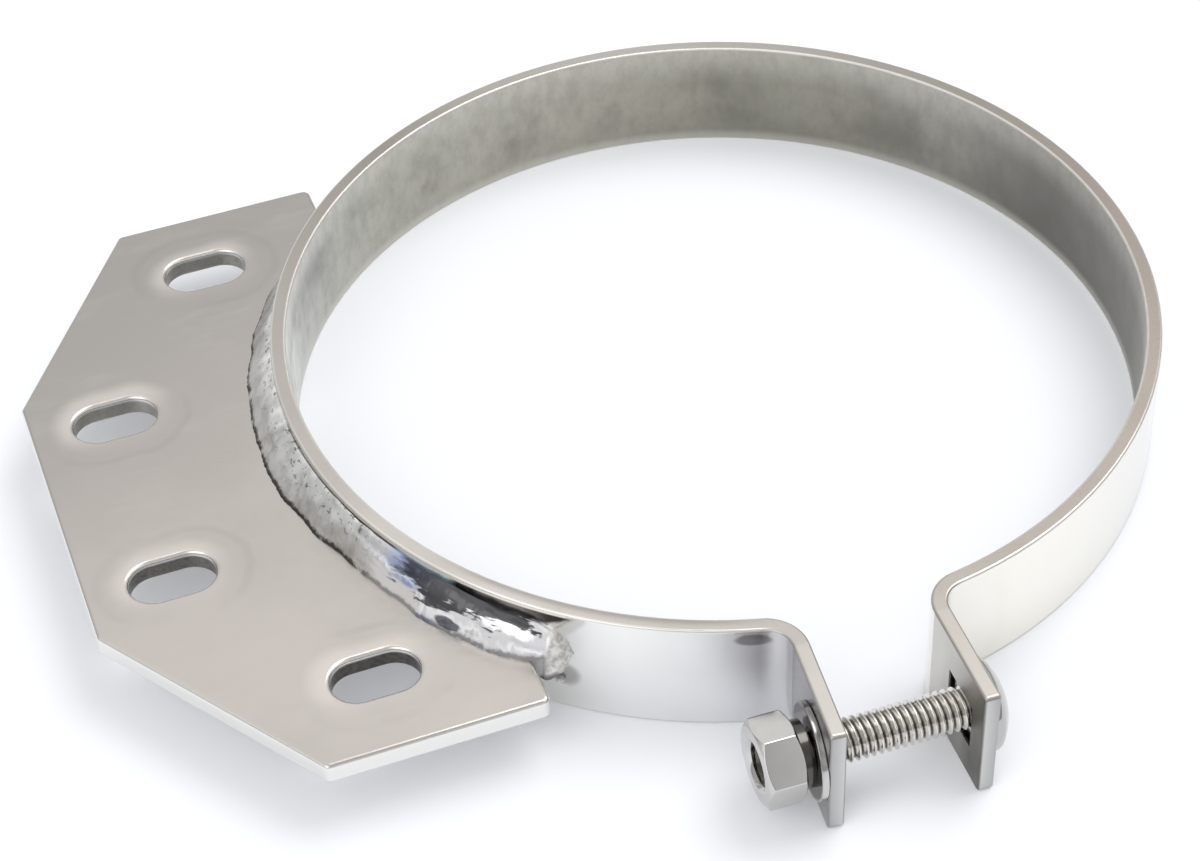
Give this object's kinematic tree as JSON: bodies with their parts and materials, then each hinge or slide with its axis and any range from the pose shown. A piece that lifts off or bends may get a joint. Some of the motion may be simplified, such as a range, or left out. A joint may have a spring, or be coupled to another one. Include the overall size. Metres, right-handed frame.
{
  "type": "exhaust stack mount bracket",
  "caption": "Welded steel bracket that holds an upright exhaust stack: a rolled flat-bar ring, drawn closed by a carriage bolt, on a slotted mounting plate.",
  "frame": {"origin": "centre of the ring at half its height", "axes": "+Z along the ring's axis, towards the side of the dressed upper weld; -X towards the mounting plate; the gap between the ears faces -Y"},
  "size_m": [0.216, 0.1963, 0.024],
  "materials": {
    "band_steel": "polished, with a satin inside and satin edges",
    "plate_steel": "satin, buffed brighter round the slots and along the edges",
    "weld_metal": "dressed weld, dull with pits in the middle and bright towards the ear side",
    "fastener_steel": "bright stainless",
    "washer_steel": "bright stainless"
  },
  "bodies": {
    "bracket": {"clamp_band": "band_steel", "mount_plate": "plate_steel", "weld_bead_upper": "weld_metal", "weld_bead_lower": "weld_metal", "carriage_bolt": "fastener_steel", "flat_washer": "washer_steel"},
    "washer": {"lock_washer": "washer_steel"},
    "nut": {"hex_nut": "fastener_steel"}
  },
  "joints": [
    {"name": "nut_travel", "type": "slide", "parent": "bracket", "child": "washer", "axis": [-0.9995, 0.0332, 0], "range_m": [0, 0.00353]},
    {"name": "nut_turn", "type": "hinge", "parent": "washer", "child": "nut", "pos_m": [-0.00724, -0.10094, 0], "axis": [-0.9995, 0.0332, 0], "range_deg": [0, 900]}
  ],
  "couplings": [
    {"joint": "nut_travel", "follows": "nut_turn", "m_per_rad": 0.00022459}
  ]
}
